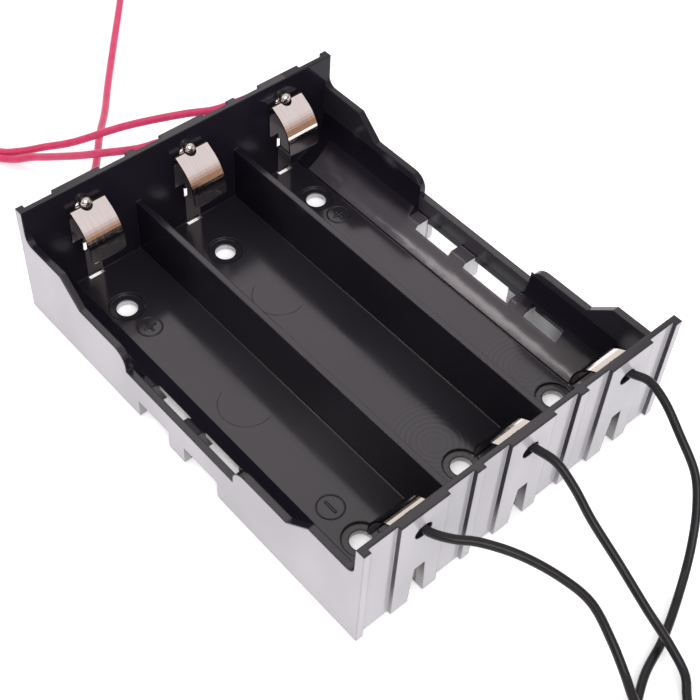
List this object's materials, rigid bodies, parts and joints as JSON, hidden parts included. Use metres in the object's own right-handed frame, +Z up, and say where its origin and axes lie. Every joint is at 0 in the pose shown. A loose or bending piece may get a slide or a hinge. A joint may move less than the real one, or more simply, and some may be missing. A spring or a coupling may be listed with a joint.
{
  "type": "cylindrical cell holder",
  "caption": "Open-topped plastic holder for cylindrical cells side by side, with sprung leaf contacts and a free wire lead on every contact.",
  "frame": {"origin": "centre of the flat underside of the housing, without the leads", "axes": "+X across the bays, +Y along the cells towards their positive ends and the red leads, +Z up out of the open top"},
  "size_m": [0.0874, 0.2041, 0.021],
  "materials": {
    "moulding": "black injection-moulded ABS, satin inside and glossy on the outer walls",
    "nickel": "nickel-plated spring strip, bright",
    "solder": "shiny tin solder",
    "black_insulation": "black PVC wire insulation, satin",
    "red_insulation": "red PVC wire insulation, satin",
    "tinned_wire": "tinned copper strands"
  },
  "bodies": {
    "root": {"housing": "moulding", "negative_contact_1": "nickel", "negative_contact_2": "nickel", "negative_contact_3": "nickel", "positive_contact_1": "nickel", "positive_contact_2": "nickel", "positive_contact_3": "nickel", "negative_solder_1": "solder", "negative_solder_2": "solder", "negative_solder_3": "solder", "positive_solder_1": "solder", "positive_solder_2": "solder", "positive_solder_3": "solder", "negative_lead_1": "black_insulation", "negative_lead_2": "black_insulation", "negative_lead_3": "black_insulation", "positive_lead_1": "red_insulation", "positive_lead_2": "red_insulation", "positive_lead_3": "red_insulation", "negative_coil_1": "black_insulation", "negative_coil_2": "black_insulation", "negative_coil_3": "black_insulation", "positive_coil_1": "red_insulation", "positive_coil_2": "red_insulation", "positive_coil_3": "red_insulation", "negative_tip_1": "tinned_wire", "negative_tip_2": "tinned_wire", "negative_tip_3": "tinned_wire", "positive_tip_1": "tinned_wire", "positive_tip_2": "tinned_wire", "positive_tip_3": "tinned_wire"}
  },
  "joints": []
}
